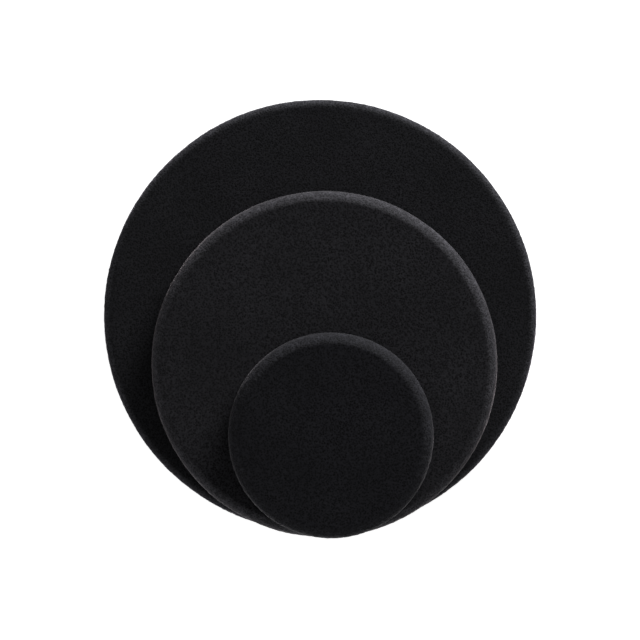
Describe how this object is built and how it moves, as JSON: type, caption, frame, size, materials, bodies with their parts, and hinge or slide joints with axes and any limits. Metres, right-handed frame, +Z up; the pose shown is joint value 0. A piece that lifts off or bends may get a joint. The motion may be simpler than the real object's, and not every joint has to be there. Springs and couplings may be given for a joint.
{
  "type": "polishing pad set",
  "caption": "Stack of round black foam polishing pads in falling sizes, each with a flat face, a rounded shoulder and a glued loop backing that grips a polisher's hook plate.",
  "frame": {"origin": "centre of the large pad's underside, where its loop backing lies on the bench or on a hook plate", "axes": "+Z up through the stack, out of the polishing faces; -Y the side that the smaller pads are pushed towards; +X to the right"},
  "size_m": [0.165, 0.1656, 0.0827],
  "materials": {
    "large_foam": "matte",
    "middle_foam": "matte",
    "small_foam": "matte",
    "glue_film": "satin",
    "backing_cloth": "matte",
    "loop_pile": "matte"
  },
  "bodies": {
    "large_pad": {"large_foam": "large_foam", "large_glue_film": "glue_film", "large_backing_cloth": "backing_cloth", "large_loop_pile": "loop_pile"},
    "middle_pad": {"middle_foam": "middle_foam", "middle_glue_film": "glue_film", "middle_backing_cloth": "backing_cloth", "middle_loop_pile": "loop_pile"},
    "small_pad": {"small_foam": "small_foam", "small_glue_film": "glue_film", "small_backing_cloth": "backing_cloth", "small_loop_pile": "loop_pile"}
  },
  "joints": [
    {"name": "middle_pad_lift", "type": "slide", "parent": "large_pad", "child": "middle_pad", "axis": [0, 0, 1], "range_m": [0, 0.1]},
    {"name": "small_pad_lift", "type": "slide", "parent": "middle_pad", "child": "small_pad", "axis": [0, 0, 1], "range_m": [0, 0.1]}
  ]
}
